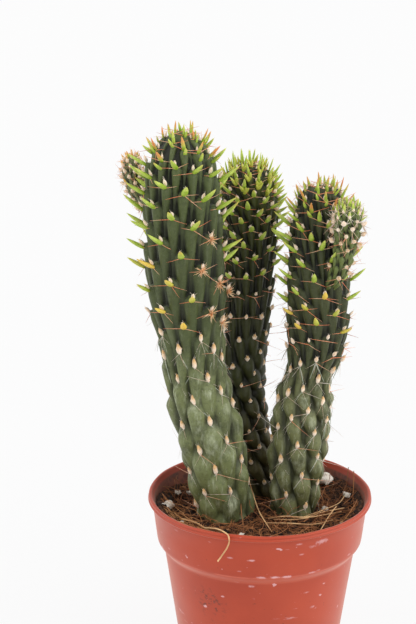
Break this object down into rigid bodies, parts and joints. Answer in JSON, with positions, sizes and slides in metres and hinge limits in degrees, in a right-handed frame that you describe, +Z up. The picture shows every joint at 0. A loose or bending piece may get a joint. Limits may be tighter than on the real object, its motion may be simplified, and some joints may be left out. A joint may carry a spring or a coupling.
{
  "type": "potted boxing glove cactus",
  "caption": "Clump of upright, ridged, spiny green cactus stems with short leaves, rooted in soil in a small round plastic nursery pot.",
  "frame": {"origin": "centre of the pot's underside, on the surface it stands on", "axes": "+Z up the stems; the front of the plant, with the tallest stem at its left, faces -Y"},
  "size_m": [0.094, 0.085, 0.2187],
  "materials": {
    "pot_plastic": "satin moulded plastic",
    "potting_soil": "damp peat and coir",
    "front_skin": "waxy living skin",
    "back_skin": "waxy living skin",
    "right_skin": "waxy living skin"
  },
  "bodies": {
    "root": {"pot": "pot_plastic", "soil": "potting_soil", "stem_front": "front_skin", "stem_back": "back_skin", "stem_right": "right_skin"}
  },
  "joints": []
}
